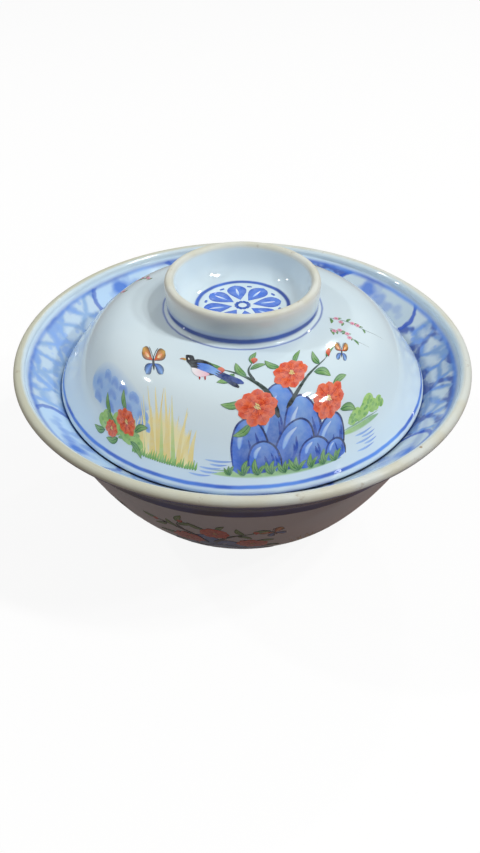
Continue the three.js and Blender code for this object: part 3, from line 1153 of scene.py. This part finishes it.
# Lamps: azimuth from +Y towards +X and elevation in degrees, width, height and radiance
LAMPS = {
    "back_lamp": (25, 43, 0.05, 0.025, 380),
    "right_lamp_1": (107, 59, 0.09, 0.045, 276),
    "right_lamp_2": (109, 53, 0.07, 0.045, 276),
    "right_lamp_3": (109, 44, 0.09, 0.045, 276),
    "left_lamp_1": (-80, 48, 0.06, 0.04, 345),
    "left_lamp_2": (-83, 27, 0.04, 0.03, 270),
}
LAMP_DISTANCE = 1.2
LAMP_TARGET = Vector((0, 0, 0.06))
LAMP_TINT = (1.0, 0.99, 0.97)

# The camera fitted to the photo
FOCAL_LENGTH = 800  # in the photo's pixels
PHOTO_HEIGHT = 853
SENSOR = 36
CAMERA_PLACE = (-0.00082, -0.22381, 0.21302)
CAMERA_DIP = 39.431  # degrees below level
CAMERA_NEAR = 0.01


def floor():
    """A floor that shows white, takes the object's shadow and throws little light back."""
    shade = Shading(bpy.data.materials.new("floor_look"))
    rays = shade.node("ShaderNodeLightPath").outputs
    seen = rays["Is Camera Ray"]
    matt = shade.node("ShaderNodeBsdfDiffuse", {"Color": shade.mix(seen, FLOOR_BOUNCE, FLOOR_WHITE)})
    white = shade.node("ShaderNodeEmission")
    in_glaze = shade.times(rays["Is Glossy Ray"], FLOOR_GLOSSY_SHARE)
    share = shade.math("MAXIMUM", shade.times(seen, FLOOR_GLOW), in_glaze)
    both = shade.node("ShaderNodeMixShader", {0: share, 1: matt.outputs[0], 2: white.outputs[0]})
    shade.node("ShaderNodeOutputMaterial", {0: both.outputs[0]})
    mesh = bpy.data.meshes.new("floor")
    corners = [(x * FLOOR_HALF, y * FLOOR_HALF, 0) for x, y in ((-1, -1), (1, -1), (1, 1), (-1, 1))]
    mesh.from_pydata(corners, [], [(0, 1, 2, 3)])
    mesh.materials.append(shade.owner)
    place_object("floor", mesh)


def sky():
    """Soft light from the sides, above the floor. Seen past the floor's edge it is plain white."""
    world = bpy.data.worlds.new("sky")
    bpy.context.scene.world = world
    nodes = Shading(world, "Generated")
    way = nodes.parts("ShaderNodeSeparateXYZ", nodes.place)
    strength = 0.0
    for axis, reach, brightness in SKY_SIDES:
        strength = nodes.math("ADD", strength, nodes.ramp(way[axis], 0.0, reach, 0.0, brightness))
    strength = nodes.times(strength, nodes.ramp(way["Z"], *SKY_BASE))
    rays = nodes.node("ShaderNodeLightPath").outputs
    for ray, share in (("Is Glossy Ray", GLOSSY_SHARE), ("Is Camera Ray", 1.0)):
        strength = nodes.math("MAXIMUM", strength, nodes.times(rays[ray], share))
    background = nodes.node("ShaderNodeBackground", {"Color": (1.0, 1.0, 1.0), "Strength": strength})
    nodes.node("ShaderNodeOutputWorld", {0: background.outputs[0]})


def lamp(name, azimuth, elevation, width, height, radiance):
    """A flat lamp that faces the bowl."""
    az, el = radians(azimuth), radians(elevation)
    out = Vector((sin(az) * cos(el), cos(az) * cos(el), sin(el)))
    light = bpy.data.lights.new(name, "AREA")
    light.shape = "RECTANGLE"
    light.size, light.size_y = width, height
    light.energy = radiance * pi * width * height
    light.color = LAMP_TINT
    source = place_object(name, light)
    source.location = LAMP_TARGET + out * LAMP_DISTANCE
    source.rotation_euler = out.to_track_quat("Z", "Y").to_euler()


def camera():
    data = bpy.data.cameras.new("camera")
    data.lens = SENSOR * FOCAL_LENGTH / PHOTO_HEIGHT
    data.sensor_width = SENSOR
    data.clip_start = CAMERA_NEAR
    viewer = place_object("camera", data)
    viewer.location = CAMERA_PLACE
    viewer.rotation_euler = (radians(90 - CAMERA_DIP), 0, 0)
    bpy.context.scene.camera = viewer


floor()
sky()
for lamp_name, settings in LAMPS.items():
    lamp(lamp_name, *settings)
camera()
bpy.context.scene.view_settings.view_transform = "Standard"
